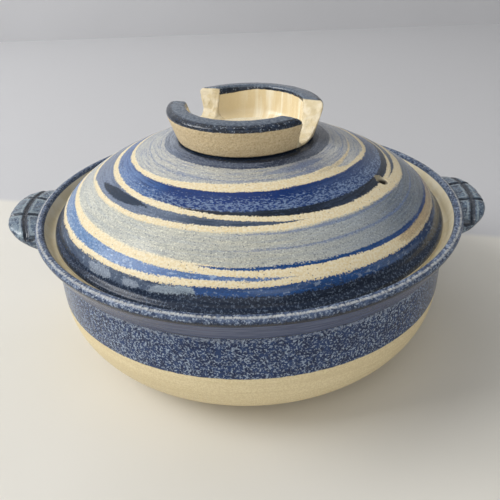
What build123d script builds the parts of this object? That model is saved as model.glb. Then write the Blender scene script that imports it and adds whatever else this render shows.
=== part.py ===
"""Lidded clay pot for table and stove: a thrown bowl with two lugs, and a domed lid with a ring knob.

Frame: the origin is the centre of the foot on the table, +Z up, the lugs lie along X, and -Y is the front.
All lengths are in millimetres. Each piece of clay is its own solid, apart from the bowl: it is kept as a
floor and a wall, cut level with the inside of the floor, so that its collision shape stays open.
"""

import os
from math import cos, radians, sin

from build123d import *

# Rim and collar of the bowl
rim_radius = 140.0
rim_height = 94.0
rim_rise = 2.9
rim_top_width = 5.0
rim_lip = 1.7
collar_drop = 15.7
collar_setback = 8.4
collar_step = 2.0
collar_step_height = 1.4

# Body of the bowl
belly_height = 49.0
foot_radius = 84.0
foot_height = 3.0
foot_width = 6.0
foot_recess = 2.4
wall_thickness = 9.0
base_thickness = 9.5

# Gallery inside the rim, where the lid rests
gallery_depth = 10.2
gallery_taper = 4.2
gallery_chamfer = 1.6
ledge_chamfer = 1.2

# Lid
lid_clearance = 2.3
seat_gap = 0.3
lid_edge_height = 3.4
lid_edge_round = 1.2
lid_seat_width = 7.0
lid_brim = 4.5
lid_brim_rise = 3.8
lid_rise = 54.2
lid_thickness = 7.4
steam_hole_diameter = 6.8
steam_hole_reach = 90.1
steam_hole_angle = -26.5

# Ring knob on the lid
knob_base_radius = 43.5
knob_height = 20.7
knob_flare = 5.9
knob_shoulder_width = 4.6
knob_shoulder_drop = 2.8
knob_wall = 12.4
knob_wall_base = 7.4
knob_edge_round = 1.0

# The two notches cut through the ring, along one line; the front one points at the steam hole
notch_angle = -25.0
notch_sill = 1.4
notch_steep_lean = 4.0
notch_round = 5.0
front_notch_offset = -15.5
front_notch_floor_width = 14.0
front_notch_slant_lean = 22.0
back_notch_offset = 19.0
back_notch_floor_width = 18.0
back_notch_slant_lean = 13.0

# Lugs, pressed by hand, so the left one is a little larger
left_lug_reach = 21.8
right_lug_reach = 19.0
lug_half_width = 37.8
lug_root_depth = 10.0
lug_thickness = 15.0
lug_drop = 11.2
lug_tilt = 18.8
lug_groove_width = 1.8
lug_groove_depth = 1.2
lug_groove_step_angle = 9.8
lug_groove_middle_angle = -4.7
lug_groove_count = 3
lug_cross_groove_reach = 12.6
lug_cross_groove_radius = 88.0
lug_cross_groove_offset = 4.0

overrun = 5.0

# Directions of the profiles, and how steeply the lid's brim starts up from its edge
outward = Vector(1, 0, 0)
upward = Vector(0, 0, 1)
downward = Vector(0, 0, -1)
brim_slope = 0.6

# Shares of a corner's radius or a lip's size at the middle points of its arcs
half_corner = 45.0
corner_share = 1 - cos(radians(half_corner))
lip_low_share = 0.25
lip_high_share = 0.5

# Where the two pulling points of the dome's curve lie, as shares of its run and of its rise
dome_curve_shares = ((0.037, 0.426), (0.824, 0.909))

# Shares of a lug's half width from its middle, with the share of its full reach and full thickness there
lug_outline_shares = (
    (0.99, 0.23, 0.38),
    (0.93, 0.49, 0.65),
    (0.74, 0.78, 0.89),
    (0.40, 0.96, 0.99),
    (0.0, 1.0, 1.0),
)

# Heights and radii that follow from the sizes above
rim_inner_radius = rim_radius - rim_top_width
rim_inner_height = rim_height + rim_rise - rim_lip * lip_low_share
collar_height = rim_height - collar_drop
collar_radius = rim_radius - collar_setback
wall_radius = collar_radius - collar_step
inner_wall_radius = wall_radius - wall_thickness
base_height = foot_recess + base_thickness
inner_base_radius = inner_wall_radius - (belly_height - base_height)
ledge_height = rim_height + rim_rise - gallery_depth
gallery_radius = rim_inner_radius - gallery_taper
seat_height = ledge_height + seat_gap
lid_edge_radius = gallery_radius - lid_clearance
lid_edge_top = seat_height + lid_edge_height
lid_shoulder_radius = lid_edge_radius - lid_brim
lid_shoulder_height = lid_edge_top + lid_brim_rise
lid_top = seat_height + lid_rise
lid_hollow_radius = lid_shoulder_radius - lid_thickness
knob_top = lid_top + knob_height
knob_lip_radius = knob_base_radius + knob_flare
lug_centre_radius = rim_radius - lug_root_depth
lug_height = rim_height - lug_drop


def at(radius, height):
    """A point of a profile: so far from the pot's axis, so far above the table."""
    return Vector(radius, 0, height)


def thrown(*edges):
    """The solid that a closed profile sweeps as it turns on the wheel."""
    return revolve(make_face(Wire(edges)), Axis.Z)


def straight(*points):
    """Edges that join the points one after another."""
    return [Edge.make_line(a, b) for a, b in zip(points, points[1:])]


def thrown_curve(start, end, shares):
    """One smooth curve, drawn towards points that lie at shares of its run and of its rise."""
    run = end.X - start.X
    rise = end.Z - start.Z
    pulls = [at(start.X + run * along, start.Z + rise * up) for along, up in shares]
    return Edge.make_bezier(start, *pulls, end)


def rim_edges():
    """The rim from the collar's lower edge over the lip to its inner edge."""
    lip_low = at(rim_radius - rim_lip * lip_low_share, rim_height - rim_lip)
    lip_side = at(rim_radius, rim_height)
    lip_high = at(rim_radius - rim_lip * lip_high_share, rim_height + rim_lip)
    crown = at((rim_radius + rim_inner_radius) / 2, rim_height + rim_rise)
    inner_edge = at(rim_inner_radius, rim_inner_height)
    return [
        Edge.make_line(at(collar_radius, collar_height), lip_low),
        Edge.make_three_point_arc(lip_low, lip_side, lip_high),
        Edge.make_three_point_arc(lip_high, crown, inner_edge),
    ]


def gallery_edges():
    """The inside of the rim down to the ledge, and the ledge, with its two corners taken off."""
    return straight(
        at(rim_inner_radius, rim_inner_height),
        at(gallery_radius, ledge_height + gallery_chamfer),
        at(gallery_radius - gallery_chamfer, ledge_height),
        at(inner_wall_radius + ledge_chamfer, ledge_height),
        at(inner_wall_radius, ledge_height - ledge_chamfer),
    )


def outer_edges():
    """The outside of the bowl from the underside's centre up to the collar."""
    foot_top = at(foot_radius, foot_height)
    belly = at(wall_radius, belly_height)
    step_low = at(wall_radius, collar_height - collar_step_height)
    underside = straight(
        at(0, foot_recess),
        at(foot_radius - foot_width, foot_recess),
        at(foot_radius - foot_width, 0),
        at(foot_radius, 0),
        foot_top,
    )
    side = [Edge.make_tangent_arc(belly, downward, foot_top)]
    return underside + side + straight(belly, step_low, at(collar_radius, collar_height))


def make_bowl():
    """The thrown bowl: foot ring, belly, collar, rim, gallery ledge and hollow."""
    ledge_foot = at(inner_wall_radius, ledge_height - ledge_chamfer)
    inner_belly = at(inner_wall_radius, belly_height)
    base_edge = at(inner_base_radius, base_height)
    inside = [
        Edge.make_line(ledge_foot, inner_belly),
        Edge.make_tangent_arc(inner_belly, downward, base_edge),
        Edge.make_line(base_edge, at(0, base_height)),
        Edge.make_line(at(0, base_height), at(0, foot_recess)),
    ]
    return thrown(*outer_edges(), *rim_edges(), *gallery_edges(), *inside)


def bowl_floor_and_wall():
    """The bowl in two: the floor slab with its foot ring, and the wall that rises from it."""
    bowl, level = make_bowl(), Plane.XY.offset(base_height)
    return split(bowl, bisect_by=level, keep=Keep.BOTTOM), split(bowl, bisect_by=level, keep=Keep.TOP)


def make_bowl_blank():
    """The bowl with no hollow, for cutting the lugs to its outside."""
    rim_top = at(rim_inner_radius, rim_inner_height)
    close = straight(rim_top, at(0, rim_height + rim_rise), at(0, foot_recess))
    return thrown(*outer_edges(), *rim_edges(), *close)


def lug_lobe(lug_reach, inset):
    """A flattened lobe, round in plan, centred in the bowl's wall and rising a little on its way out."""
    reach = lug_reach + lug_root_depth - inset
    half_width = lug_half_width - inset
    half_thickness = lug_thickness / 2 - inset
    stations = [(-along, out, thick) for along, out, thick in lug_outline_shares]
    stations += [(along, out, thick) for along, out, thick in reversed(lug_outline_shares[:-1])]
    inward = (-cos(radians(lug_tilt)), 0, -sin(radians(lug_tilt)))
    sections = []
    for along, out, thick in stations:
        centre = (lug_centre_radius, along * half_width, lug_height)
        place = Plane(origin=centre, x_dir=inward, z_dir=(0, 1, 0))
        sections.append(place * Ellipse(reach * out, half_thickness * thick))
    return loft(sections)


def lug_grooving():
    """Slabs that run out over the lug's upper half, and a ring across them, joined into one cutter."""
    length = left_lug_reach + lug_root_depth + overrun
    tilted = Pos(lug_centre_radius, 0, lug_height) * Rot(0, -lug_tilt, 0)
    slab = Box(length, lug_groove_width, lug_thickness)
    slab = tilted * Pos(length / 2, 0, lug_thickness / 2) * slab
    ring = Cylinder(lug_cross_groove_radius + lug_groove_width / 2, lug_thickness)
    ring -= Cylinder(lug_cross_groove_radius - lug_groove_width / 2, lug_thickness)
    ring_centre = lug_root_depth + lug_cross_groove_reach - lug_cross_groove_radius
    cutter = tilted * Pos(ring_centre, lug_cross_groove_offset, lug_thickness / 2) * ring
    middle = (lug_groove_count - 1) / 2
    for i in range(lug_groove_count):
        turn = lug_groove_middle_angle + (i - middle) * lug_groove_step_angle
        cutter += Rot(0, 0, turn) * slab
    return cutter


def make_lug(lug_reach, bowl_blank):
    """A pressed lug on the right, with a grid of incised grooves on top, cut to fit the collar and wall."""
    grooves = lug_grooving() - lug_lobe(lug_reach, lug_groove_depth)
    lug = lug_lobe(lug_reach, 0) - bowl_blank - grooves
    return max(lug.solids(), key=lambda piece: piece.volume)


def make_lid():
    """The thrown lid: seat, flared brim, dome, flat crown under the knob, hollow and steam hole."""
    seat_outer = at(lid_edge_radius - lid_edge_round, seat_height)
    seat_inner = at(seat_outer.X - lid_seat_width, seat_height)
    edge_low = at(lid_edge_radius, seat_height + lid_edge_round)
    edge_reach = lid_edge_round * corner_share
    edge_mid = at(lid_edge_radius - edge_reach, seat_height + edge_reach)
    edge_top = at(lid_edge_radius, lid_edge_top)
    shoulder = at(lid_shoulder_radius, lid_shoulder_height)
    crown_edge = at(knob_base_radius, lid_top)
    hollow_shoulder = at(lid_hollow_radius, lid_shoulder_height)
    hollow_edge = at(knob_base_radius, lid_top - lid_thickness)
    brim = Edge.make_spline([edge_top, shoulder], tangents=[upward * brim_slope - outward, upward])
    edges = [
        Edge.make_line(seat_inner, seat_outer),
        Edge.make_three_point_arc(seat_outer, edge_mid, edge_low),
        Edge.make_line(edge_low, edge_top),
        brim,
        thrown_curve(shoulder, crown_edge, dome_curve_shares),
        *straight(crown_edge, at(0, lid_top), at(0, hollow_edge.Z), hollow_edge),
        thrown_curve(hollow_shoulder, hollow_edge, dome_curve_shares),
        Edge.make_line(hollow_shoulder, seat_inner),
    ]
    hole_x = steam_hole_reach * cos(radians(steam_hole_angle))
    hole_y = steam_hole_reach * sin(radians(steam_hole_angle))
    hole_middle = (seat_height + lid_top) / 2
    hole = Pos(hole_x, hole_y, hole_middle) * Cylinder(steam_hole_diameter / 2, lid_rise + overrun)
    return thrown(*edges) - hole


def notch_trough(offset, floor_width, slant_lean):
    """A trough that runs out along X from the ring's centre: one side steep, the other leaning back.

    The offset places the steep side's foot, and the floor runs from there towards the other side.
    """
    side = 1 if offset < 0 else -1
    floor = lid_top + notch_sill
    top = knob_top + overrun
    grow = (top - floor) / (knob_top - floor)
    corners = [
        (offset - side * notch_steep_lean * grow, top),
        (offset, floor),
        (offset + side * floor_width, floor),
        (offset + side * (floor_width + slant_lean * grow), top),
    ]
    points = [Vector(0, s, z) for s, z in corners]
    outline = make_face(Wire(straight(*points, points[0])))
    low = outline.vertices().group_by(Axis.Z)[0]
    outline = fillet(low, notch_round)
    return extrude(outline, amount=knob_lip_radius + overrun, dir=(1, 0, 0))


def make_knob():
    """The ring that the lid is lifted by, flared, with a glazed shoulder and two notches cut to the lid."""
    shoulder_top = at(knob_lip_radius - knob_shoulder_width, knob_top)
    lip = at(knob_lip_radius, knob_top - knob_shoulder_drop)
    inner_top = at(knob_lip_radius - knob_wall + knob_edge_round, knob_top)
    inner_low = at(knob_lip_radius - knob_wall, knob_top - knob_edge_round)
    edge_reach = knob_edge_round * corner_share
    inner_mid = at(inner_low.X + edge_reach, knob_top - edge_reach)
    base_outer = at(knob_base_radius, lid_top)
    base_inner = at(knob_base_radius - knob_wall_base, lid_top)
    ring = thrown(
        Edge.make_line(base_outer, lip),
        Edge.make_tangent_arc(shoulder_top, outward, lip),
        Edge.make_line(shoulder_top, inner_top),
        Edge.make_three_point_arc(inner_top, inner_mid, inner_low),
        *straight(inner_low, base_inner, base_outer),
    )
    front = notch_trough(front_notch_offset, front_notch_floor_width, front_notch_slant_lean)
    back = notch_trough(back_notch_offset, back_notch_floor_width, back_notch_slant_lean)
    for trough in (front, mirror(back, Plane.YZ)):
        ring -= Rot(0, 0, notch_angle) * trough
    return ring


def main():
    os.makedirs("parts", exist_ok=True)
    bowl_blank = make_bowl_blank()
    bowl_floor, bowl_wall = bowl_floor_and_wall()
    pieces = {
        "bowl_floor": bowl_floor,
        "bowl_wall": bowl_wall,
        "right_lug": make_lug(right_lug_reach, bowl_blank),
        "left_lug": mirror(make_lug(left_lug_reach, bowl_blank), Plane.YZ),
        "lid": make_lid(),
        "knob_ring": make_knob(),
    }
    for node, solid in pieces.items():
        export_step(solid, "parts/" + node + ".step")


main()
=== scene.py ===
from math import atan2, cos, pi, radians, sin, sqrt

import bmesh
import bpy
from mathutils import Matrix, Vector


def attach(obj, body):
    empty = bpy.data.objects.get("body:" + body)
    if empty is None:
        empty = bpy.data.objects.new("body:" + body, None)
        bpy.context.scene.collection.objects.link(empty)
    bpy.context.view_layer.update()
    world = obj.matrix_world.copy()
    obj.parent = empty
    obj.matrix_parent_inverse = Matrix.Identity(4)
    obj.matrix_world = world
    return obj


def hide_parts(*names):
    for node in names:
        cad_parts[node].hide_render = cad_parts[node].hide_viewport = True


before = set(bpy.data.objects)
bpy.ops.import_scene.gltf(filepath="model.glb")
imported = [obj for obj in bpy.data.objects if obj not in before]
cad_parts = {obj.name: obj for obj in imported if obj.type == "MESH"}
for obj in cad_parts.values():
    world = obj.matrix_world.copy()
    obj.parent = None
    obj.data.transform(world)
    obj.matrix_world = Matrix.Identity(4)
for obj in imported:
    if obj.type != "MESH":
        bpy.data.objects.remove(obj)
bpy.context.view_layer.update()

MM = 0.001

# Sizes of the pot, in millimetres; a pair is a radius and a height

FOOT_RADIUS = 84.0
FOOT_WIDTH = 6.0
FOOT_LEVEL = 0.12
FOOT_RECESS = 2.4
FOOT_TOP = 3.0
BELLY_HEIGHT = 49.0
WALL_RADIUS = 129.6
GLAZE_LINE = 49.2
WALL_TOP = 76.9
COLLAR_FOOT = (131.6, 78.3)
COLLAR_TOP = (138.6, 91.4)
RIM_INNER_EDGE = (134.85, 96.0)
GALLERY_RADIUS = 130.8
LEDGE_HEIGHT = 86.7
INNER_WALL_RADIUS = 120.6
INNER_FLOOR_RADIUS = 83.5
FLOOR_HEIGHT = 11.9

LID_SEAT_RADIUS = 120.3
LID_SEAT_HEIGHT = 87.0
LID_EDGE_RADIUS = 128.5
LID_EDGE_TOP = 90.4
LID_SHOULDER = (124.0, 94.2)
LID_CROWN = (43.5, 141.2)
LID_HOLLOW_SHOULDER = (116.6, 94.2)
LID_HOLLOW_CROWN = (43.5, 133.8)
DOME_PULLS = ((0.037, 0.426), (0.824, 0.909))

# The steam hole's place in plan, its distance from the axis, and the flat of clay that is kept round it
STEAM_HOLE = (80.63, -40.20)
STEAM_HOLE_RADIUS = 3.4
STEAM_HOLE_REACH = sqrt(STEAM_HOLE[0] ** 2 + STEAM_HOLE[1] ** 2)
STEAM_HOLE_MARGIN = 5.6

KNOB_BASE_HEIGHT = 140.3
KNOB_BASE_RADIUS = 43.3
KNOB_LIP = (49.3, 157.6)
KNOB_INSIDE_RADIUS = 38.1
KNOB_TOP_START = 160.2
KNOB_FLAT_RADIUS = 45.7

# The two notches: which side of the axis, the corners of the trough's floor, and its edges at the top
NOTCH_FLOOR, NOTCH_TOP = 142.6, 164.0
NOTCH_TURN = -25.0
NOTCH_LENGTH = 60.0
NOTCH_ROUNDING = 6.2
NOTCHES = {
    "front_notch": (1, (-15.5, -1.5), (-19.9, 22.9)),
    "back_notch": (-1, (-19.0, -1.0), (-23.4, 13.4)),
}

# The lugs' grooves: three that fan out from the axis, in degrees, and a ring across them in the lug's
# tilted plane
LUG_GROOVE_MIDDLE, LUG_GROOVE_STEP = -4.7, 9.8
LUG_MIDDLE, LUG_TILT = (130.0, 82.8), radians(18.8)
LUG_RING_CENTRE, LUG_RING_RADIUS = (-65.4, 4.0), 88.0

# Where the table ends behind the pot, and how much that line turns across the view
TABLE_EDGE, TABLE_EDGE_SLOPE = 153.3, 0.2423

CAMERA_PLACE = (0, -371.2, 270.6)
CAMERA_PITCH, CAMERA_YAW, CAMERA_ROLL = radians(30.311), radians(-0.003), radians(-2.118)
CAMERA_LENS = 43.2

# Each lamp's place and size, in metres, and its watts
POT_MIDDLE = (0, 0, 0.08)
LAMPS = {
    "window": ((-1.6, -0.2, 1.35), (1.1, 1.1), 28),
    "ceiling_bounce": ((-0.9, 0.9, 1.9), (2.2, 2.2), 13),
    "front_fill": ((-0.4, -1.8, 1.1), (2.2, 2.2), 12),
}
SKY_STRENGTH = 0.33


# Hands: small modelling moves

def let_go():
    """Nothing selected, nothing in hand."""
    if bpy.context.object and bpy.context.object.mode != "OBJECT":
        bpy.ops.object.mode_set(mode="OBJECT")
    bpy.ops.object.select_all(action="DESELECT")


def take(piece):
    let_go()
    piece.select_set(True)
    bpy.context.view_layer.objects.active = piece


def edit(piece):
    take(piece)
    bpy.ops.object.mode_set(mode="EDIT")
    bpy.ops.mesh.select_all(action="DESELECT")


def pick_faces(piece, wanted):
    """Selects the faces whose centre satisfies the test."""
    mesh = bmesh.from_edit_mesh(piece.data)
    mesh.select_mode = {"FACE"}
    bpy.ops.mesh.select_mode(type="FACE")
    for face in mesh.faces:
        face.select_set(wanted(face.calc_center_median()))
    mesh.select_flush_mode()
    bmesh.update_edit_mesh(piece.data)


def apply_all(piece):
    take(piece)
    for modifier in list(piece.modifiers):
        bpy.ops.object.modifier_apply(modifier=modifier.name)


def pull_curve(start, end, pulls, count):
    """Points along a smooth thrown curve that is drawn towards two pulling points."""
    run, rise = end[0] - start[0], end[1] - start[1]
    knots = [start] + [(start[0] + run * a, start[1] + rise * b) for a, b in pulls] + [end]
    points = []
    for i in range(count + 1):
        t = i / count
        weights = ((1 - t) ** 3, 3 * t * (1 - t) ** 2, 3 * t * t * (1 - t), t ** 3)
        points.append(tuple(sum(w * k[axis] for w, k in zip(weights, knots)) for axis in (0, 1)))
    return points


def quarter(start, end, count):
    """Points along a quarter of a turn, level at its start and upright at its end."""
    across, up = end[0] - start[0], end[1] - start[1]
    turns = [pi / 2 * i / count for i in range(count + 1)]
    return [(start[0] + across * sin(t), end[1] - up * cos(t)) for t in turns]


def hold(points, reach=0.6, longest=14.0):
    """Holds each corner of an outline with a point on either side, and divides the long runs."""
    held = [points[0]]
    for before, corner, after in zip(points, points[1:], points[2:]):
        for other in (before, after):
            span = sqrt((other[0] - corner[0]) ** 2 + (other[1] - corner[1]) ** 2)
            step = min(reach / span, 0.4)
            held.append(tuple(corner[k] + (other[k] - corner[k]) * step for k in (0, 1)))
    held.append(points[-1])
    divided = [held[0]]
    for a, b in zip(held, held[1:]):
        span = sqrt((b[0] - a[0]) ** 2 + (b[1] - a[1]) ** 2)
        parts = max(1, round(span / longest))
        for i in range(1, parts + 1):
            divided.append(tuple(a[k] + (b[k] - a[k]) * i / parts for k in (0, 1)))
    return divided


def draw_outline(name, points, closed=False):
    """An outline in the XZ plane, drawn vertex by vertex from one point."""
    let_go()
    bpy.ops.mesh.primitive_plane_add(size=MM, location=(0, 0, 0))
    piece = bpy.context.object
    piece.name = piece.data.name = name
    bpy.ops.object.mode_set(mode="EDIT")
    bpy.ops.mesh.select_mode(type="VERT")
    bpy.ops.mesh.select_all(action="SELECT")
    bpy.ops.mesh.merge(type="CENTER")
    bpy.ops.transform.translate(value=(points[0][0] * MM, 0, points[0][1] * MM))
    for a, b in zip(points, points[1:]):
        step = ((b[0] - a[0]) * MM, 0, (b[1] - a[1]) * MM)
        bpy.ops.mesh.extrude_vertices_move(TRANSFORM_OT_translate={"value": step})
    if closed:
        bpy.ops.mesh.select_all(action="SELECT")
        bpy.ops.mesh.edge_face_add()
    return piece


def throw(name, points, steps=96, levels=2, ring=False):
    """Spins an outline round the pot's axis, closes it at the poles and smooths it."""
    # Smoothing draws a ring of points inwards, so the outline starts that much further out
    gain = 3 / (2 + cos(2 * pi / steps))
    points = [(r * gain, z) for r, z in points]
    if ring:
        points = points + [points[0]]
    piece = draw_outline(name, points)
    bpy.ops.mesh.select_all(action="SELECT")
    bpy.ops.mesh.spin(steps=steps, angle=2 * pi, center=(0, 0, 0), axis=(0, 0, 1))
    bpy.ops.mesh.select_all(action="SELECT")
    bpy.ops.mesh.remove_doubles(threshold=0.02 * MM)
    bpy.ops.mesh.normals_make_consistent(inside=False)
    bpy.ops.mesh.select_all(action="DESELECT")
    if levels:
        smoothing = piece.modifiers.new("smoothing", "SUBSURF")
        smoothing.levels = smoothing.render_levels = levels
    return piece


def unevenness(piece, size, depth):
    """The slight waviness of clay that was shaped by hand."""
    texture = bpy.data.textures.new(piece.name + "_waviness", "CLOUDS")
    texture.noise_scale = size * MM
    texture.noise_depth = 1
    wave = piece.modifiers.new("waviness", "DISPLACE")
    wave.texture = texture
    wave.texture_coords = "LOCAL"
    wave.mid_level = 0.5
    wave.strength = depth * MM


def finish_piece(piece, body, slot, material, *nodes):
    apply_all(piece)
    bpy.ops.object.shade_smooth()
    piece.data.materials.clear()
    piece.data.materials.append(material)
    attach(piece, body)
    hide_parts(*nodes)
    return piece


# Finishes: a small bench of nodes that read places on a piece in millimetres

def tone(code):
    """A colour written as six hex digits, in linear light."""
    shares = [int(code[i:i + 2], 16) / 255 for i in (0, 2, 4)]
    return tuple(s / 12.92 if s <= 0.04045 else ((s + 0.055) / 1.055) ** 2.4 for s in shares) + (1.0,)


class Finish:
    """One finish, mixed from nodes and fed to one shader."""

    def __init__(self, name, **values):
        self.material = bpy.data.materials.new(name)
        self.material.use_nodes = True
        self.nodes = self.material.node_tree.nodes
        self.links = self.material.node_tree.links
        self.shader = self.nodes["Principled BSDF"]
        for socket, value in values.items():
            self.shader.inputs[socket.replace("_", " ")].default_value = value
        spot = self.nodes.new("ShaderNodeTexCoord").outputs["Object"]
        self.place = self.stretch(spot, (1 / MM, 1 / MM, 1 / MM))
        apart = self.nodes.new("ShaderNodeSeparateXYZ")
        self.links.new(self.place, apart.inputs[0])
        self.x, self.y, self.z = apart.outputs
        self.plan = self.stretch(self.place, (1, 1, 0))
        self.radius = self.node("ShaderNodeVectorMath", {0: self.plan}, "Value", operation="LENGTH")
        self.relief = None

    def node(self, kind, feeds, output=0, **settings):
        made = self.nodes.new(kind)
        for setting, value in settings.items():
            setattr(made, setting, value)
        for socket, value in feeds.items():
            if isinstance(value, bpy.types.NodeSocket):
                self.links.new(value, made.inputs[socket])
            else:
                made.inputs[socket].default_value = value
        return made.outputs[output]

    def stretch(self, vector, scale):
        return self.node("ShaderNodeMapping", {"Vector": vector, "Scale": scale})

    def maths(self, operation, a, b=0.0):
        return self.node("ShaderNodeMath", {0: a, 1: b}, operation=operation)

    def plus(self, a, b):
        return self.maths("ADD", a, b)

    def minus(self, a, b):
        return self.maths("SUBTRACT", a, b)

    def times(self, a, b):
        return self.maths("MULTIPLY", a, b)

    def step(self, value, low, high, start=0.0, end=1.0):
        """A soft step from start to end as the value passes from low to high."""
        feeds = {"Value": value, "From Min": low, "From Max": high, "To Min": start, "To Max": end}
        return self.node("ShaderNodeMapRange", feeds, interpolation_type="SMOOTHSTEP")

    def between(self, value, low, high, soft):
        """One where the value lies between low and high, none elsewhere."""
        enters = self.step(self.minus(value, low), 0.0, soft)
        leaves = self.step(self.minus(high, value), 0.0, soft)
        return self.times(enters, leaves)

    def other(self, mask):
        """One where the mask is none, and none where it is one."""
        return self.minus(1.0, mask)

    def facing_up(self, low, high):
        """One where the surface looks up, none where it looks down."""
        normal = self.node("ShaderNodeNewGeometry", {}, "Normal")
        return self.step(self.node("ShaderNodeSeparateXYZ", {0: normal}, 2), low, high)

    def noise(self, grain, detail=2.0, rough=0.5, vector=None):
        """Cloudy noise whose lumps are about as wide as the grain."""
        feeds = {"Vector": vector or self.place, "Scale": 1.0 / grain, "Detail": detail, "Roughness": rough}
        return self.node("ShaderNodeTexNoise", feeds)

    def cells(self, size):
        """How far a place is from the middle of its cell, in shares of the cell."""
        return self.node("ShaderNodeTexVoronoi", {"Vector": self.place, "Scale": 1.0 / size})

    def around(self):
        """The direction from the axis, the same at every radius and height."""
        return self.node("ShaderNodeVectorMath", {0: self.plan}, operation="NORMALIZE")

    def brushed(self, across, width, run=3.0, detail=2.0):
        """Streaks along the turning: fine across, long round the axis."""
        long_way = self.stretch(self.around(), (run, run, run))
        fine_way = self.node("ShaderNodeCombineXYZ", {2: self.times(across, 1.0 / width)})
        vector = self.node("ShaderNodeVectorMath", {0: long_way, 1: fine_way}, operation="ADD")
        return self.noise(1.0, detail, 0.6, vector)

    def blend(self, factor, under, over, how="MIX"):
        feeds = {0: factor, 6: under, 7: over}
        return self.node("ShaderNodeMix", feeds, 2, data_type="RGBA", blend_type=how)

    def veil(self, mask, strength, under, code):
        """A tone laid over a colour where the mask is, at part of its strength."""
        return self.blend(self.times(mask, strength), under, tone(code))

    def tones(self, value, stops):
        """Colours along a value: pairs of place and tone."""
        made = self.nodes.new("ShaderNodeValToRGB")
        self.links.new(value, made.inputs[0])
        elements = made.color_ramp.elements
        for i, (place, code) in enumerate(stops):
            element = elements[i] if i < 2 else elements.new(place)
            element.position, element.color = place, tone(code)
        return made.outputs[0]

    def curve(self, value, points):
        """A smooth curve through hand-set points, both axes from none to one."""
        made = self.nodes.new("ShaderNodeFloatCurve")
        self.links.new(value, made.inputs["Value"])
        line = made.mapping.curves[0]
        # A smooth curve through given points, both axes from none to one.
        for i, (x, y) in enumerate(points):
            point = line.points[i] if i < 2 else line.points.new(x, y)
            point.location = (x, y)
            point.handle_type = "AUTO_CLAMPED"
        made.mapping.update()
        return made.outputs[0]

    def raise_by(self, height, amount):
        """Adds a height, in millimetres, to the relief."""
        part = self.times(height, amount)
        self.relief = part if self.relief is None else self.plus(self.relief, part)

    def done(self, colour, roughness):
        """Feeds the shader its colour, roughness and relief, and gives the finished material."""
        self.links.new(colour, self.shader.inputs["Base Color"])
        self.links.new(roughness, self.shader.inputs["Roughness"])
        feeds = {"Height": self.relief, "Distance": MM, "Strength": 1.0}
        self.links.new(self.node("ShaderNodeBump", feeds), self.shader.inputs["Normal"])
        return self.material


# The lid's brush strokes, in the order in which they are laid. The inner and outer edges are pairs of
# degrees round from the front, to the right positive, and radius in millimetres. Tones go round with the
# degrees too. A stroke that has no paint at some degrees has its outer edge inside its inner edge there.

# How a stroke is painted unless it says otherwise: the softness of its edges, how strongly its streaks,
# flecks and washes show, how high the noise has to be for a fleck at its inner edge and further out, and
# whether the flecks are dots
STROKE_MANNER = dict(soft=0.5, streaked=0.5, flecked=0.55, washed=0.2, cover=(0.60, 0.52), dotted=False)

# How far out from a stroke's inner edge the cover of its flecks changes, in millimetres
FLECK_REACH = 9.0

# The least radius that an edge may have, and how far above it the others lie
LEAST_REACH, REACH_SPAN = 30.0, 110.0

# How much brighter the pale grains make the glaze
SALT_GAIN = (1.9, 1.9, 1.8, 1.0)

# Many strokes' tones grow lighter towards the left and the back and darker towards the right: partly the
# glaze's own colour, partly painted light, a painted reflection of the pale room at the left and back and
# painted shade at the right
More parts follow.
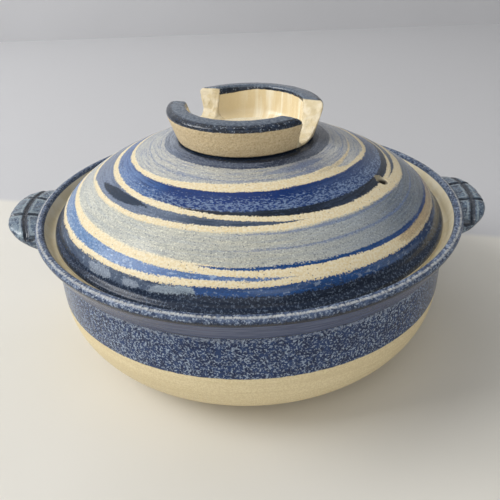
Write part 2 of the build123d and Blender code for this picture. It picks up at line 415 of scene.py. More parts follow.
STROKES = {
    # Slate band round the knob; its darker tones at the front and right are partly painted shadow and
    # reflection of the knob
    "band_at_knob": dict(
        inner=((-180, 38), (180, 38)),
        outer=((-180, 53.5), (-60, 53.5), (0, 54), (90, 55), (180, 53.5)),
        tones=((-180, "8a93a2"), (-85, "87909f"), (-55, "626e85"), (-20, "455067"), (30, "384154"),
               (60, "585d68"), (90, "686d75"), (180, "8a93a2")),
        streaks="263246", flecks="8a93a2", flecked=0.4, streaked=0.6, soft=1.6),
    # A dark ring round the knob's foot, darkest at the front: partly dark glaze, partly painted shadow and
    # reflection of the knob
    "knob_foot_glaze_and_shade": dict(
        inner=((-180, 36), (180, 36)),
        outer=((-180, 44), (-70, 45), (-30, 47), (20, 49), (60, 48.5), (110, 45), (180, 44)),
        tones=((-180, "2b3646"), (0, "141c29"), (180, "2b3646")),
        streaks="0f1621", flecks="3c4a5e", flecked=0.2, soft=1.8),
    "pale_wash": dict(
        inner=((-180, 52), (-90, 52), (0, 52.5), (90, 53.5), (180, 52)),
        outer=((-180, 75), (-90, 72.4), (-60, 69.8), (-40, 67.5), (-20, 65), (0, 64), (20, 64), (45, 64),
               (56, 69.4), (70, 71.5), (90, 75), (180, 74)),
        # Its tones dip at about 35 degrees, partly a painted shadow of the knob, and rise at about 60
        # degrees, partly a painted reflection
        tones=((-180, "b2b6b8"), (-60, "b9b9b4"), (15, "b1afa4"), (35, "8f929a"), (60, "c2c2c0"),
               (85, "a9abac"), (120, "a6a9aa"), (180, "b2b6b8")),
        streaks="6c7c9c", flecks="c9c9bf", streaked=0.62, flecked=0.5),
    "cream_line": dict(
        inner=((-180, 68), (30, 67), (44, 64.2), (60, 64.2), (75, 64.6), (95, 65.5), (115, 66.6),
               (130, 68), (180, 68)),
        outer=((-180, 66), (30, 66), (44, 67.4), (60, 67.3), (75, 66.7), (95, 66.8), (115, 67.0),
               (130, 66), (180, 66)),
        tones=((-180, "dccba6"), (180, "dccba6")),
        streaks="b9b3a0", flecks="e9dfc6", flecked=0.3, streaked=0.4, soft=0.8),
    "cobalt_band": dict(
        inner=((-180, 78), (-90, 74.5), (-60, 72.3), (-40, 71), (-20, 70), (0, 69.7), (20, 69.7),
               (40, 70.5), (60, 72.3), (80, 75.8), (100, 78), (180, 78)),
        outer=((-180, 86), (-90, 83), (0, 83.5), (30, 84.5), (60, 86), (90, 87.5), (180, 86)),
        tones=((-180, "6880ac"), (-60, "617cab"), (-42, "204a86"), (-36, "0a3270"), (0, "052b6d"),
               (25, "0b2f68"), (44, "364c78"), (90, "58667e"), (180, "6880ac")),
        streaks="0d2b60", flecks="8599b6", streaked=0.6, flecked=0.66, cover=(0.68, 0.46), washed=0.06),
    "navy_edge": dict(
        inner=((-180, 90), (-60, 88), (-35, 82.9), (0, 82.7), (30, 83.6), (60, 85), (90, 86.5),
               (130, 88.5), (180, 90)),
        outer=((-180, 86), (-60, 84), (-35, 83.2), (-20, 84.5), (0, 86), (20, 88.5), (40, 90), (90, 90.5),
               (130, 87), (180, 86)),
        tones=((-180, "1d2735"), (20, "1b2534"), (60, "2a3340"), (180, "1d2735")),
        streaks="0f1620", flecks="4a5a74"),
    "slate_band": dict(
        inner=((-180, 86), (-60, 86), (-30, 86.5), (0, 88.5), (15, 90.4), (25, 92), (32, 93.6),
               (50, 93.5), (65, 92.4), (90, 92), (140, 88), (180, 86)),
        outer=((-180, 98.5), (-90, 99), (-70, 96), (-50, 94.5), (-30, 92.6), (0, 92.1), (15, 91.9),
               (25, 91.6), (40, 91), (65, 92.5), (90, 96), (180, 98.5)),
        tones=((-180, "6f7d92"), (-75, "74819a"), (-28, "5f6c80"), (-18, "2b3a4e"), (15, "2b3a4e"),
               (70, "39434f"), (180, "6f7d92")),
        streaks="46546a", flecks="8792a3"),
    "slate_patch": dict(
        inner=((-180, 95), (-80, 94), (-70, 90), (-60, 87), (-45, 86.5), (-41, 87.5), (-34, 95),
               (180, 95)),
        outer=((-180, 92), (-80, 92), (-70, 93.5), (-60, 93), (-50, 91.5), (-45, 90), (-41, 89),
               (-34, 90), (180, 90)),
        tones=((-180, "223145"), (180, "223145")),
        streaks="18232f", flecks="3b4a5f", flecked=0.3),
    # Painted shade: the cream band on the lid's right shoulder darkened to a shaded tan
    "right_shade_on_cream": dict(
        inner=((-180, 120), (35, 120), (52, 113.8), (100, 113.8), (130, 120), (180, 120)),
        outer=((-180, 115), (35, 115), (52, 120.4), (100, 120.4), (130, 115), (180, 115)),
        tones=((-180, "c9b48f"), (45, "c9b48f"), (62, "b39d7c"), (90, "a8977c"), (180, "c9b48f")),
        streaks="b8a584", flecks="d8c8a6", streaked=0.4, flecked=0.3, soft=2.0),
    "grey_wash": dict(
        inner=((-180, 103), (-95, 101), (-80, 98.6), (-60, 97.0), (-40, 95.8), (-20, 94.8), (20, 94.5),
               (50, 95), (70, 98.5), (90, 100), (180, 103)),
        outer=((-180, 110), (-60, 110), (-20, 111.5), (0, 113.3), (20, 114.2), (50, 116), (90, 116),
               (140, 112), (180, 110)),
        tones=((-180, "c0c3c1"), (-60, "c9c9bd"), (0, "bfbdae"), (35, "9ca2a5"), (55, "68727e"),
               (90, "606a75"), (180, "c0c3c1")),
        streaks="929eb0", flecks="8f9494", flecked=0.45, streaked=0.35, cover=(0.56, 0.50), soft=1.2),
    "blue_line": dict(
        inner=((-180, 114), (-30, 113.5), (-17, 112.0), (0, 112.0), (20, 112.3), (60, 113.5), (110, 114),
               (180, 114)),
        outer=((-180, 110), (-30, 111.2), (-17, 112.2), (-10, 113.4), (0, 114), (20, 114.6), (50, 116),
               (90, 116), (130, 113), (180, 110)),
        tones=((-180, "204a82"), (30, "1d467b"), (60, "163567"), (180, "204a82")),
        streaks="15366e", flecks="6d86b4"),
    "periwinkle_band": dict(
        inner=((-180, 114), (-140, 113), (-80, 112.5), (-50, 113.5), (-20, 115), (0, 116.1), (16, 117.6),
               (30, 120), (80, 120), (100, 118), (140, 115.5), (180, 114)),
        outer=((-180, 118.7), (-60, 119), (-30, 118.6), (0, 117.9), (16, 117.5), (30, 117), (80, 117),
               (100, 118), (140, 118.5), (180, 118.7)),
        tones=((-180, "7790b1"), (-50, "6e8bb1"), (-25, "40669b"), (0, "204a84"), (180, "7790b1")),
        streaks="44679f", flecks="a3b6cf", flecked=0.65, cover=(0.54, 0.50)),
    "blue_brim": dict(
        inner=((-180, 120.3), (-90, 120.6), (-60, 120.7), (-30, 120.3), (0, 119.8), (20, 119.6),
               (90, 119.7), (180, 120.5)),
        outer=((-180, 140), (180, 140)),
        tones=((-180, "5d6b80"), (-60, "455268"), (-22, "3a475c"), (-15, "224c86"), (40, "1f4579"),
               (60, "19345a"), (180, "5d6b80")),
        streaks="1e2e4e", flecks="8f9db0", flecked=0.6, cover=(0.56, 0.52)),
    # Painted reflection: pale patches on the brim at the front left, where the window shows in the glossy
    # glaze
    "brim_window_reflections": dict(
        inner=((-180, 127), (-50, 127), (-47, 121.4), (-39, 121.0), (-36, 127), (-34, 122), (-29, 121.6),
               (-27, 125), (-25, 121.4), (-20, 120.5), (-14, 120.8), (-12, 127), (180, 127)),
        outer=((-180, 120), (-50, 120), (-47, 123.8), (-39, 124.4), (-36, 120), (-34, 123.6),
               (-29, 124.0), (-27, 122), (-25, 124.8), (-20, 125.2), (-14, 124.2), (-12, 120),
               (180, 120)),
        tones=((-180, "858fa0"), (-30, "858fa0"), (-20, "9aa8b2"), (180, "9aa8b2")),
        streaks="5a6678", flecks="aab4bd", flecked=0.4, streaked=0.5),
    "dark_brim": dict(
        inner=((-180, 123.2), (-60, 123.6), (-25, 123.4), (-15, 122.3), (90, 122.3), (180, 123.2)),
        outer=((-180, 140), (180, 140)),
        tones=((-180, "232f44"), (0, "1c273a"), (180, "232f44")),
        streaks="0e1520", flecks="66758c", flecked=0.6, cover=(0.53, 0.52), washed=0.05, streaked=0.35,
        dotted=True),
}

# Thin, half-clear streaks inside the washes: edges, and how strongly each one shows
THIN_STREAKS = (
    (((-180, 61.4), (0, 61.2), (180, 61.4)), ((-180, 63.2), (0, 62.8), (180, 63.2)), 0.55),
    # The second streak, darker towards the front right, is partly a painted shadow of the knob
    (((-180, 62), (-10, 60), (8, 57.5), (25, 54.5), (45, 55), (60, 60), (180, 62)),
     ((-180, 58), (-10, 58), (8, 58.6), (25, 59.6), (45, 59), (60, 58), (180, 58)), 0.5),
    (((-180, 99), (-25, 97), (0, 95.6), (60, 96.5), (90, 101), (180, 99)),
     ((-180, 98), (-25, 96), (0, 97.4), (60, 98.5), (90, 100), (180, 98)), 0.6),
    (((-180, 106), (-40, 104.6), (20, 103.8), (60, 104.5), (180, 106)),
     ((-180, 105), (-40, 104.8), (20, 105.8), (60, 106.5), (180, 105)), 0.65),
)


def lay_strokes(mix, turn, reach, colour):
    """Lays every stroke over the colour, and gives the new colour and where there is glaze."""

    def edge(points):
        shares = [(t / 360 + 0.5, (r - LEAST_REACH) / REACH_SPAN) for t, r in points]
        return mix.plus(mix.times(mix.curve(turn, shares), REACH_SPAN), LEAST_REACH)

    def laid(inner, outer, soft):
        enters = mix.step(mix.minus(reach, edge(inner)), 0.0, soft)
        leaves = mix.step(mix.minus(edge(outer), reach), 0.0, soft)
        return mix.times(enters, leaves)

    streak = mix.step(mix.brushed(mix.radius, 1.0, 4.0, 3), 0.40, 0.66)
    broad = mix.step(mix.brushed(mix.radius, 3.2, 2.4, 2), 0.45, 0.62)
    clump = mix.brushed(mix.radius, 0.85, 40.0, 3)
    dots = mix.noise(1.2, 3, 0.65)
    glaze = None
    for stroke in STROKES.values():
        manner = {**STROKE_MANNER, **stroke}
        mask = laid(manner["inner"], manner["outer"], manner["soft"])
        paint = mix.tones(turn, [(t / 360 + 0.5, code) for t, code in manner["tones"]])
        paint = mix.veil(streak, manner["streaked"], paint, manner["streaks"])
        spread = mix.minus(reach, edge(manner["inner"]))
        cover = mix.step(spread, 0.0, FLECK_REACH, *manner["cover"])
        fleck = mix.step(mix.minus(dots if manner["dotted"] else clump, cover), 0.0, 0.09)
        paint = mix.veil(fleck, manner["flecked"], paint, manner["flecks"])
        paint = mix.veil(broad, manner["washed"], paint, manner["flecks"])
        colour = mix.blend(mask, colour, paint)
        glaze = mask if glaze is None else mix.maths("MAXIMUM", glaze, mask)
    for inner, outer, strength in THIN_STREAKS:
        colour = mix.veil(laid(inner, outer, 0.9), strength, colour, "60739a")
    return colour, glaze


def lid_glaze():
    """Cream slip under a clear glaze, with brushed bands of blue, grey and slate glaze on the outside."""
    mix = Finish("lid_glaze", Specular_IOR_Level=0.24, Coat_Weight=0.05, Coat_Roughness=0.1)
    turn = mix.plus(mix.times(mix.maths("ARCTAN2", mix.x, mix.times(mix.y, -1.0)), 0.5 / pi), 0.5)
    grain = mix.noise(1.1, 3)
    fine = mix.noise(0.8, 2)
    sweep = mix.brushed(mix.radius, 1.6)
    sand = mix.step(grain, 0.35, 0.65)
    wobble = mix.plus(mix.times(mix.minus(grain, 0.5), 2.4), mix.times(mix.minus(sweep, 0.5), 2.0))
    slip = mix.blend(sand, tone("e0cda2"), tone("ece1c5"))
    colour, glaze = lay_strokes(mix, turn, mix.plus(mix.radius, wobble), slip)
    pepper, salt = mix.step(fine, 0.43, 0.34), mix.step(fine, 0.58, 0.68)
    colour = mix.veil(mix.times(pepper, glaze), 0.40, colour, "1f2d48")
    colour = mix.blend(mix.times(mix.times(salt, glaze), 0.55), colour, SALT_GAIN, "MULTIPLY")
    colour = mix.veil(mix.step(mix.cells(3.1), 0.15, 0.09), 0.6, colour, "4a5266")

    feeds = {0: mix.plan, 1: (*STEAM_HOLE, 0)}
    hole_way = mix.node("ShaderNodeVectorMath", feeds, "Value", operation="DISTANCE")
    in_hole = mix.step(hole_way, STEAM_HOLE_RADIUS + 0.5, STEAM_HOLE_RADIUS + 0.1)
    under_knob = mix.step(mix.radius, KNOB_INSIDE_RADIUS + 0.5, KNOB_INSIDE_RADIUS - 0.5)
    outside = mix.times(mix.facing_up(-0.05, 0.15), mix.other(in_hole))
    outside = mix.times(outside, mix.other(under_knob))
    clear = mix.blend(sand, tone("e6dcc2"), tone("efe8d3"))
    colour = mix.blend(outside, clear, colour)
    lip = mix.between(mix.plus(hole_way, wobble), STEAM_HOLE_RADIUS + 0.1, STEAM_HOLE_RADIUS + 1.3, 0.5)
    colour = mix.veil(lip, 0.55, colour, "d9cba9")
    hole_top = dome_height(STEAM_HOLE_REACH, LID_SHOULDER, LID_CROWN)
    shade = mix.step(mix.z, hole_top - 0.4, hole_top - 3.2)
    colour = mix.blend(mix.times(in_hole, mix.step(shade, 0.0, 1.0, 0.35, 0.95)), colour, tone("2c2a2a"))

    glaze = mix.times(glaze, outside)
    mix.raise_by(grain, mix.step(glaze, 0.0, 1.0, 0.30, 0.07))
    mix.raise_by(glaze, 0.16)
    mix.raise_by(sweep, 0.10)
    mix.raise_by(fine, 0.05)
    mix.raise_by(mix.noise(5.0, 1), 0.10)
    bare = mix.times(outside, mix.other(glaze))
    roughness = mix.plus(mix.step(bare, 0.0, 1.0, 0.20, 0.50), mix.times(mix.minus(grain, 0.5), 0.2))
    return mix.done(colour, roughness)


def speckled(mix, ground, mottle, fleck, cover=0.5, grain=1.3):
    """Glaze that broke into pale flecks over a dark ground, with soft clouds of a middle tone."""
    cloud = mix.step(mix.noise(3.4, 3, 0.55), 0.38, 0.62)
    broken = mix.noise(grain, 3, 0.66)
    drift = mix.times(mix.minus(mix.noise(34.0, 1), 0.5), 0.10)
    shown = mix.step(mix.plus(broken, drift), cover, cover + 0.10)
    return mix.blend(shown, mix.blend(cloud, tone(ground), tone(mottle)), tone(fleck)), shown


# Half-way through the bowl's clay, from the table up: heights and radii in millimetres. What lies further
# out is the outside. Under the floor everything is outside, so the line starts at the axis.
BOWL_MIDDLE = ((0, 0), (9.4, 0), (10.6, 97), (13, 99), (20, 110), (30, 120), (49, 125), (86, 125.4),
               (87.5, 133.6), (92, 136), (95, 133.8), (100, 132))
MIDDLE_SPAN = 150.0

# The radii between which a pale broken line runs on the rim's crown, partly a painted highlight along the
# crown
CROWN_LINE = (137.2, 139.2)


def bowl_glaze():
    """Speckled navy wall over bare clay, a smooth slate collar, a speckled rim whose crown has a pale
    broken line, partly a painted highlight, and cream inside.
    """
    mix = Finish("bowl_glaze", Specular_IOR_Level=0.28, Coat_Weight=0.12, Coat_Roughness=0.1)
    grain = mix.noise(1.0, 3)
    sand = mix.step(grain, 0.35, 0.65)
    height = mix.plus(mix.z, mix.minus(mix.noise(3.0, 3), 0.5))
    shares = [(z / 100, r / MIDDLE_SPAN) for z, r in BOWL_MIDDLE]
    middle = mix.times(mix.curve(mix.times(mix.z, 0.01), shares), MIDDLE_SPAN)
    outside = mix.step(mix.minus(mix.radius, middle), -0.3, 0.3)

    clay = mix.blend(sand, tone("dccaa0"), tone("ecddb7"))
    throwing = mix.step(mix.brushed(mix.plus(mix.z, mix.radius), 2.2, 2.0, 2), 0.42, 0.60)
    clay = mix.veil(throwing, 0.35, clay, "d4c197")
    pits = mix.times(mix.step(mix.noise(1.3, 2), 0.60, 0.68), mix.step(mix.z, 40.0, 22.0, 0.25, 1.0))
    clay = mix.veil(pits, 0.5, clay, "f8edd4")
    wall, flecks = speckled(mix, "122449", "213a66", "9aa9bd", 0.505, 1.15)
    lines = mix.brushed(mix.z, 0.9, 5.0, 3)
    collar = mix.blend(mix.step(lines, 0.42, 0.62), tone("3c4868"), tone("566180"))
    collar = mix.blend(mix.step(mix.brushed(mix.z, 2.5, 2.0, 2), 0.55, 0.70), collar, tone("5a5c76"))
    rays = mix.noise(1.0, 3, 0.6, mix.stretch(mix.around(), (95, 95, 0)))
    rim, _ = speckled(mix, "2b3a55", "4e5e7c", "93a0b2", 0.505)
    crown_way = mix.plus(mix.radius, mix.times(mix.minus(rays, 0.5), 2.2))
    # A pale broken line along the crown: partly broken glaze, partly a painted highlight
    crown_line_and_highlight = mix.between(crown_way, *CROWN_LINE, 0.8)
    rim = mix.blend(mix.times(crown_line_and_highlight, mix.step(rays, 0.30, 0.62, 0.15, 0.8)), rim, tone("cfd0cd"))

    dark_line = tone("1d2639")
    colour = mix.blend(mix.step(height, GLAZE_LINE - 0.2, GLAZE_LINE + 0.3), clay, wall)
    row = mix.between(height, WALL_TOP - 3.3, WALL_TOP + 0.3, 1.2)
    row = mix.times(row, mix.step(mix.noise(1.6, 3), 0.44, 0.6))
    colour = mix.veil(row, 0.6, colour, "98a2b3")
    colour = mix.blend(mix.step(mix.z, WALL_TOP - 0.2, WALL_TOP + 0.2), colour, dark_line)
    colour = mix.blend(mix.step(mix.z, COLLAR_FOOT[1], COLLAR_FOOT[1] + 0.9), colour, collar)
    colour = mix.blend(mix.step(mix.z, COLLAR_TOP[1] - 0.8, COLLAR_TOP[1] + 0.2), colour, dark_line)
    lip = mix.plus(mix.z, mix.times(mix.minus(rays, 0.5), 5.0))
    colour = mix.blend(mix.step(lip, COLLAR_TOP[1] + 1.8, COLLAR_TOP[1] + 3.2), colour, rim)
    cream = mix.blend(mix.step(mix.noise(9.0, 2), 0.35, 0.65), tone("ecdfbd"), tone("f3e9ce"))
    colour = mix.blend(outside, cream, colour)

    over_clay = mix.step(height, GLAZE_LINE - 0.3, GLAZE_LINE + 0.4)
    glazed = mix.maths("MAXIMUM", mix.other(outside), over_clay)
    smooth = mix.times(outside, mix.between(mix.z, COLLAR_FOOT[1] - 0.3, COLLAR_TOP[1] + 0.6, 0.8))
    mix.raise_by(glazed, 0.30)
    mix.raise_by(grain, mix.step(glazed, 0.0, 1.0, 0.30, 0.05))
    mix.raise_by(flecks, mix.times(mix.times(outside, mix.other(smooth)), mix.times(glazed, 0.10)))
    mix.raise_by(mix.noise(4.0, 2), 0.16)
    mix.raise_by(mix.times(lines, smooth), 0.10)
    mix.raise_by(mix.times(pits, mix.other(glazed)), -0.25)
    roughness = mix.plus(mix.step(glazed, 0.0, 1.0, 0.78, 0.22), mix.times(mix.minus(grain, 0.5), 0.15))
    return mix.done(colour, roughness)


def cut_faces(mix, rough_edge):
    """Where the notches left raw clay: beyond a steep face and below a slanting one, on one side."""
    turned = radians(90 + NOTCH_TURN)
    along = mix.plus(mix.times(mix.x, cos(turned)), mix.times(mix.y, sin(turned)))
    out = mix.minus(mix.times(mix.x, sin(turned)), mix.times(mix.y, cos(turned)))
    rise = mix.minus(mix.z, NOTCH_FLOOR)
    cuts = None
    for side, low_corners, high_corners in NOTCHES.values():
        leans = [(high - low) / (NOTCH_TOP - NOTCH_FLOOR) for low, high in zip(low_corners, high_corners)]
        steep_face, slant_face = [mix.plus(mix.times(rise, lean), corner)
                                  for lean, corner in zip(leans, low_corners)]
        place = mix.times(along, side)
        past_steep = mix.step(mix.minus(mix.minus(place, steep_face), rough_edge), -0.9, -0.3)
        below_slant = mix.step(mix.minus(mix.minus(slant_face, place), rough_edge), -1.2, -0.5)
        cut = mix.times(mix.times(past_steep, below_slant), mix.step(mix.times(out, side), 0.0, 1.0))
        cuts = cut if cuts is None else mix.maths("MAXIMUM", cuts, cut)
    return cuts


def knob_glaze():
    """Bare clay on the side, blue glaze on the top and shoulder, clear glaze inside, raw cut notches."""
    mix = Finish("knob_glaze", Specular_IOR_Level=0.35, Coat_Weight=0.15, Coat_Roughness=0.1)
    grain = mix.noise(1.0, 3)
    sand = mix.step(grain, 0.35, 0.65)
    rough_edge = mix.times(mix.minus(mix.noise(2.2, 3), 0.5), 1.6)
    on_top = mix.times(mix.facing_up(0.2, 0.5), mix.step(mix.z, KNOB_TOP_START, KNOB_TOP_START + 0.6))
    cuts = mix.times(cut_faces(mix, rough_edge), mix.other(on_top))
    inside = mix.step(mix.radius, KNOB_INSIDE_RADIUS + 0.5, KNOB_INSIDE_RADIUS - 0.5)
    level = mix.plus(mix.z, mix.times(rough_edge, 0.5))

    bare = mix.blend(sand, tone("cdb68d"), tone("e2cea8"))
    bare = mix.blend(mix.step(mix.noise(1.5, 2), 0.68, 0.75), bare, tone("a68f66"))
    # Pale streaks down the clear glaze inside, laid mostly on the right where the light falls: partly glaze
    # runs, partly painted light
    runs = mix.step(mix.brushed(mix.z, 60.0, 7.0, 3), 0.46, 0.66)
    runs = mix.times(runs, mix.step(mix.x, -8.0, 14.0, 0.15, 0.9))
    clear = mix.blend(runs, tone("e6d3aa"), tone("f7eed6"))
    shoulder, _ = speckled(mix, "131b28", "222f42", "8a94a0", 0.57)
    flat_top = mix.blend(mix.step(mix.noise(1.6, 3), 0.35, 0.65), tone("475262"), tone("6c7784"))
    on_flat = mix.step(mix.plus(mix.radius, rough_edge), KNOB_FLAT_RADIUS + 0.9, KNOB_FLAT_RADIUS - 0.9)
    on_flat = mix.times(on_flat, mix.step(mix.z, KNOB_TOP_START, KNOB_TOP_START + 0.7))
    glaze = mix.blend(on_flat, shoulder, flat_top)
    raw = mix.blend(mix.step(mix.noise(5.0, 2), 0.36, 0.64), tone("dccba4"), tone("ecdfc2"))

    colour = mix.blend(inside, bare, clear)
    # A dark line round the outside of the ring's foot: painted shadow in the joint with the lid
    foot_joint_shade = mix.step(mix.z, KNOB_BASE_HEIGHT + 1.6, KNOB_BASE_HEIGHT + 0.9)
    colour = mix.blend(mix.times(foot_joint_shade, mix.other(inside)), colour, tone("2a2f38"))
    # Inside, the blue glaze stops higher at the front and runs lower at the back left
    stops_higher = mix.plus(1.4, mix.times(mix.step(mix.minus(mix.y, mix.x), 25.0, 50.0), -2.2))
    glazed = mix.minus(level, mix.times(inside, stops_higher))
    glazed = mix.step(glazed, KNOB_LIP[1] - 0.2, KNOB_LIP[1] + 0.3)
    colour = mix.blend(glazed, colour, glaze)
    colour = mix.blend(cuts, colour, raw)

    glazed = mix.times(glazed, mix.other(cuts))
    bare_side = mix.times(mix.other(inside), mix.other(mix.maths("MAXIMUM", glazed, cuts)))
    shiny = mix.maths("MAXIMUM", glazed, mix.times(inside, 0.8))
    mix.raise_by(glazed, 0.25)
    mix.raise_by(grain, mix.step(shiny, 0.0, 1.0, 0.40, 0.05))
    mix.raise_by(mix.noise(4.5, 3), mix.plus(mix.times(cuts, 1.2), 0.12))
    mix.raise_by(mix.noise(1.6, 2), mix.times(bare_side, 0.5))
    roughness = mix.plus(mix.step(shiny, 0.0, 1.0, 0.75, 0.20), mix.times(mix.minus(grain, 0.5), 0.15))
    return mix.done(colour, roughness)


def groove_way(mix):
    """How far a place on a lug is from the nearest groove."""
    away = mix.maths("ABSOLUTE", mix.x)
    bearing = mix.maths("ARCTAN2", mix.y, away)
    outward = mix.plus(mix.times(mix.minus(away, LUG_MIDDLE[0]), cos(LUG_TILT)),
                       mix.times(mix.minus(mix.z, LUG_MIDDLE[1]), sin(LUG_TILT)))
    ring_x, ring_y = mix.minus(outward, LUG_RING_CENTRE[0]), mix.minus(mix.y, LUG_RING_CENTRE[1])
    ring_way = mix.maths("SQRT", mix.plus(mix.times(ring_x, ring_x), mix.times(ring_y, ring_y)))
    nearest = mix.maths("ABSOLUTE", mix.minus(ring_way, LUG_RING_RADIUS))
    for i in (-1, 0, 1):
        centre = radians(LUG_GROOVE_MIDDLE + i * LUG_GROOVE_STEP)
        aside = mix.times(mix.maths("ABSOLUTE", mix.minus(bearing, centre)), mix.radius)
        nearest = mix.maths("MINIMUM", nearest, aside)
    return nearest


def lug_glaze():
    """Glossy slate-blue glaze that broke pale on the raised squares and pooled dark in the grooves; paler
    on the upward faces and on the left lug, partly painted light from the left.
    """
    mix = Finish("lug_glaze", Coat_Weight=0.4, Coat_Roughness=0.08, IOR=1.5)
    upward = mix.facing_up(0.1, 0.5)
    ragged = mix.times(mix.minus(mix.noise(2.4, 3), 0.5), 1.8)
    aside = mix.plus(groove_way(mix), ragged)
    pooled = mix.times(mix.step(aside, 2.1, 1.0), upward)
    broken = mix.times(mix.between(aside, 1.9, 3.8, 0.8), upward)
    glaze, flecks = speckled(mix, "2b3a50", "4d6177", "8a9ba8", 0.52)
    # Paler glaze on the upward faces, more on the left lug: partly the glaze's own variation, partly
    # painted light from the left
    pale = mix.times(mix.step(mix.noise(6.5, 2), 0.44, 0.60), upward)
    pale = mix.times(pale, mix.step(mix.x, -10.0, 10.0, 0.5, 0.12))
    glaze = mix.blend(pale, glaze, tone("8598a3"))
    colour = mix.veil(broken, 0.5, glaze, "a3b1b6")
    colour = mix.veil(pooled, 0.9, colour, "141e2c")
    mix.raise_by(mix.noise(3.2, 2), 0.45)
    mix.raise_by(flecks, 0.04)
    mix.raise_by(pooled, -0.35)
    roughness = mix.step(flecks, 0.0, 1.0, 0.16, 0.26)
    return mix.done(colour, roughness)


# Pieces

def make_bowl():
    foot_inner = FOOT_RADIUS - FOOT_WIDTH
    underside = hold([(0, FOOT_RECESS), (foot_inner, FOOT_RECESS), (foot_inner, FOOT_LEVEL),
                      (FOOT_RADIUS, FOOT_LEVEL), (FOOT_RADIUS, FOOT_TOP)], 0.8, 20)
    belly = quarter((FOOT_RADIUS, FOOT_TOP), (WALL_RADIUS, BELLY_HEIGHT), 9)
    rim = hold([(WALL_RADIUS, BELLY_HEIGHT), (WALL_RADIUS, WALL_TOP), COLLAR_FOOT, COLLAR_TOP], 0.5, 9)
    crown = [(139.55, 92.6), (140.05, 94.0), (139.8, 95.3), (138.9, 96.4), (137.5, 96.95),
             (136.1, 96.9), (135.3, 96.6), RIM_INNER_EDGE]
    gallery = hold([RIM_INNER_EDGE, (GALLERY_RADIUS, LEDGE_HEIGHT), (INNER_WALL_RADIUS, LEDGE_HEIGHT),
                    (INNER_WALL_RADIUS, BELLY_HEIGHT)], 1.2, 11)
    inside = quarter((INNER_FLOOR_RADIUS, FLOOR_HEIGHT), (INNER_WALL_RADIUS, BELLY_HEIGHT), 8)
    floor = [(r, FLOOR_HEIGHT) for r in (60, 40, 20, 0)]
    outline = underside[:-1] + belly + rim[1:-1] + crown + gallery[1:-1] + inside[::-1] + floor
    bowl = throw("bowl_clay", outline)
    unevenness(bowl, 45, 0.3)
    return finish_piece(bowl, "pot", "bowl_clay", bowl_glaze(), "bowl_wall", "bowl_floor")


def dome_height(radius, shoulder, crown):
    """The height of the lid's thrown curve at a radius."""
    points = pull_curve(shoulder, crown, DOME_PULLS, 200)
    for (r0, z0), (r1, z1) in zip(points, points[1:]):
        if r1 <= radius <= r0:
            return z0 + (z1 - z0) * (r0 - radius) / (r0 - r1)
    return crown[1]


def make_lid():
    seat = hold([(LID_HOLLOW_SHOULDER[0], LID_SHOULDER[1]), (LID_SEAT_RADIUS, LID_SEAT_HEIGHT),
                 (LID_EDGE_RADIUS, LID_SEAT_HEIGHT), (LID_EDGE_RADIUS, LID_EDGE_TOP)], 0.9, 9)
    brim = [(127.9, 91.2), (126.2, 92.0), (124.9, 92.9), (124.15, 94.3)]
    inner, outer = STEAM_HOLE_REACH - STEAM_HOLE_MARGIN, STEAM_HOLE_REACH + STEAM_HOLE_MARGIN
    dome_radii = [123.7, 121.6, 117, 109, outer, inner, 74, 62, 50, 40, 20, 0]
    dome = [(r, dome_height(r, LID_SHOULDER, LID_CROWN)) for r in dome_radii]
    hollow_radii = [0, 22, 44, 62, 74, inner, outer, 107, 113.6, 116.3]
    hollow = [(r, dome_height(r, LID_HOLLOW_SHOULDER, LID_HOLLOW_CROWN)) for r in hollow_radii]
    steps = 48
    lid = throw("lid_clay", hollow + seat[:-1] + brim + dome, steps, 0)
    pierce(lid, steps)
    smoothing = lid.modifiers.new("smoothing", "SUBSURF")
    smoothing.levels = smoothing.render_levels = 3
    unevenness(lid, 38, 0.35)
    return finish_piece(lid, "lid", "lid_clay", lid_glaze(), "lid")


# Smoothing makes a square hole round, with about this share of its width
SMOOTHED_SHARE = 0.93


def pierce(lid, steps):
    """Opens the steam hole: a facet on the dome and the one under it are inset, taken out and bridged."""
    hole_turn = atan2(STEAM_HOLE[1], STEAM_HOLE[0])
    edit(lid)
    bpy.ops.mesh.select_all(action="SELECT")
    bpy.ops.transform.rotate(value=-(hole_turn + pi / steps), orient_axis="Z", center_override=(0, 0, 0))
    spot = Vector((STEAM_HOLE[0] * MM, STEAM_HOLE[1] * MM, 0))

    def over_hole(centre):
        flat = Vector((centre.x, centre.y, 0))
        return (flat - spot).length < 3.0 * MM

    pick_faces(lid, over_hole)
    side = 2 * STEAM_HOLE_REACH * sin(pi / steps)
    hole_side = 2 * STEAM_HOLE_RADIUS / SMOOTHED_SHARE
    bpy.ops.mesh.inset(thickness=(side - hole_side) / 2 * MM, depth=0, use_individual=True)
    bpy.ops.mesh.delete(type="FACE")
    bpy.ops.mesh.select_mode(type="EDGE")
    bpy.ops.mesh.select_non_manifold(use_wire=False)
    bpy.ops.mesh.bridge_edge_loops(number_cuts=2)
    bpy.ops.mesh.select_all(action="SELECT")
    bpy.ops.mesh.normals_make_consistent(inside=False)
    bpy.ops.object.mode_set(mode="OBJECT")


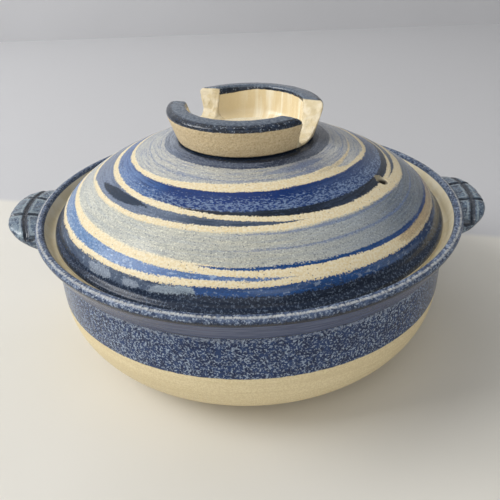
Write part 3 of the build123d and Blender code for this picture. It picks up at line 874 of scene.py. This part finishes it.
def notch_cutter(name, corners, turn):
    """A trough that runs out from the ring's centre, with its low corners rounded."""
    cutter = draw_outline(name, corners, True)
    bpy.ops.mesh.extrude_region_move(TRANSFORM_OT_translate={"value": (0, -NOTCH_LENGTH * MM, 0)})
    bpy.ops.mesh.select_all(action="SELECT")
    bpy.ops.mesh.normals_make_consistent(inside=False)
    mesh = bmesh.from_edit_mesh(cutter.data)
    bpy.ops.mesh.select_all(action="DESELECT")
    bpy.ops.mesh.select_mode(type="EDGE")
    for edge in mesh.edges:
        a, b = edge.verts
        low = max(a.co.z, b.co.z) < (NOTCH_FLOOR + 1) * MM
        if low and abs(a.co.y - b.co.y) > NOTCH_LENGTH / 2 * MM:
            edge.select_set(True)
    bmesh.update_edit_mesh(cutter.data)
    bpy.ops.mesh.bevel(offset=NOTCH_ROUNDING * MM, segments=8)
    bpy.ops.mesh.select_all(action="SELECT")
    bpy.ops.transform.rotate(value=-turn, orient_axis="Z", center_override=(0, 0, 0))
    bpy.ops.object.mode_set(mode="OBJECT")
    return cutter


def make_knob():
    side = hold([(36.1, KNOB_BASE_HEIGHT), (KNOB_BASE_RADIUS, KNOB_BASE_HEIGHT), KNOB_LIP], 0.5, 5)
    shoulder = [(49.55, 158.3), (49.1, 159.5), (47.8, 160.5), (45.8, 161.1), (43.4, 161.5), (40.6, 161.75)]
    inner = hold([(40.6, 161.75), (37.0, 161.8), (36.2, 149.0)], 0.9, 5)
    cove = [(35.8, 145.6), (34.6, 143.3), (32.4, 141.9), (30.2, 141.0), (30.0, KNOB_BASE_HEIGHT)]
    knob = throw("knob_ring_clay", side[:-1] + shoulder + inner[1:] + cove, 96, 2, True)
    apply_all(knob)
    for name, (way, low, high) in NOTCHES.items():
        corners = [(high[0], NOTCH_TOP), (low[0], NOTCH_FLOOR), (low[1], NOTCH_FLOOR), (high[1], NOTCH_TOP)]
        cutter = notch_cutter(name, corners, radians(180 - 90 * way + NOTCH_TURN))
        cut = knob.modifiers.new("notch", "BOOLEAN")
        cut.operation = "DIFFERENCE"
        cut.object = cutter
        cut.solver = "EXACT"
        apply_all(knob)
        bpy.data.objects.remove(cutter)
    skin = knob.modifiers.new("one_skin", "REMESH")
    skin.mode = "VOXEL"
    skin.voxel_size = 0.6 * MM
    wear = knob.modifiers.new("wiped_edges", "SMOOTH")
    wear.factor, wear.iterations = 0.5, 6
    unevenness(knob, 6, 0.35)
    return finish_piece(knob, "lid", "knob_clay", knob_glaze(), "knob_ring")


def make_lug(node, glaze):
    """A lug of one skin: the node's own form, softened as glaze softens clay."""
    take(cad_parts[node])
    bpy.ops.object.duplicate()
    lug = bpy.context.object
    lug.name = lug.data.name = node + "_clay"
    for key in list(lug.keys()):
        del lug[key]
    lug.parent = None
    edit(lug)
    bpy.ops.mesh.select_all(action="SELECT")
    bpy.ops.mesh.remove_doubles(threshold=0.001 * MM)
    bpy.ops.object.mode_set(mode="OBJECT")
    skin = lug.modifiers.new("one_skin", "REMESH")
    skin.mode = "VOXEL"
    skin.voxel_size = 0.55 * MM
    wear = lug.modifiers.new("soft_edges", "SMOOTH")
    wear.factor, wear.iterations = 0.5, 4
    unevenness(lug, 7, 0.6)
    return finish_piece(lug, "pot", "lug_clay", glaze, node)


# The room

def stand_camera():
    camera_data = bpy.data.cameras.new("camera")
    camera_data.lens = CAMERA_LENS
    camera_data.sensor_width = 36.0
    camera_data.clip_start, camera_data.clip_end = 0.01, 20
    camera = bpy.data.objects.new("camera", camera_data)
    bpy.context.scene.collection.objects.link(camera)
    ahead = cos(CAMERA_PITCH)
    look = Vector((sin(CAMERA_YAW) * ahead, cos(CAMERA_YAW) * ahead, -sin(CAMERA_PITCH)))
    right = look.cross(Vector((0, 0, 1))).normalized()
    up = right.cross(look)
    turned_right = right * cos(CAMERA_ROLL) + up * sin(CAMERA_ROLL)
    turned_up = up * cos(CAMERA_ROLL) - right * sin(CAMERA_ROLL)
    turned = Matrix((turned_right, turned_up, -look)).transposed().to_4x4()
    camera.matrix_world = Matrix.Translation([v * MM for v in CAMERA_PLACE]) @ turned
    bpy.context.scene.camera = camera


def hang_lamp(name, place, size, watts):
    data = bpy.data.lights.new(name, "AREA")
    data.shape = "RECTANGLE"
    data.size, data.size_y = size
    data.energy = watts
    light = bpy.data.objects.new(name, data)
    bpy.context.scene.collection.objects.link(light)
    light.location = place
    light.rotation_euler = (Vector(POT_MIDDLE) - Vector(place)).to_track_quat("-Z", "Y").to_euler()


def plain_paint(name, colour):
    paint = Finish(name, Roughness=0.85)
    paint.links.new(colour(paint), paint.shader.inputs["Base Color"])
    return paint.material


def floor_colour(paint):
    """A warm pale table in front, and the light grey beyond it."""
    beyond = paint.minus(paint.plus(paint.y, paint.times(paint.x, TABLE_EDGE_SLOPE)), TABLE_EDGE)
    cloud = paint.step(paint.noise(180.0, 2), 0.3, 0.7)
    table = paint.blend(cloud, tone("dedbd2"), tone("e2dfd7"))
    return paint.blend(paint.step(beyond, -6.0, 6.0), table, tone("c9c9cb"))


def wall_colour(paint):
    return paint.blend(paint.step(paint.noise(400.0, 2), 0.3, 0.7), tone("c6c6c8"), tone("cbcbcd"))


def set_stage():
    let_go()
    bpy.ops.mesh.primitive_plane_add(size=6, location=(0, 0, 0))
    ground = bpy.context.object
    ground.name = "floor"
    ground.data.materials.append(plain_paint("floor_paint", floor_colour))
    bpy.ops.mesh.primitive_plane_add(size=6, location=(0, 1.1, 0), rotation=(pi / 2, 0, 0))
    wall = bpy.context.object
    wall.name = "backdrop"
    wall.data.materials.append(plain_paint("wall_paint", wall_colour))
    world = bpy.data.worlds.new("soft_sky")
    world.use_nodes = True
    world.node_tree.nodes["Background"].inputs["Color"].default_value = (1, 1, 1, 1)
    world.node_tree.nodes["Background"].inputs["Strength"].default_value = SKY_STRENGTH
    bpy.context.scene.world = world
    for name, (place, size, watts) in LAMPS.items():
        hang_lamp(name, place, size, watts)


bpy.context.scene.view_settings.view_transform = "Standard"
stand_camera()
set_stage()
make_bowl()
make_lid()
make_knob()
shared_glaze = lug_glaze()
for node in ("right_lug", "left_lug"):
    make_lug(node, shared_glaze)
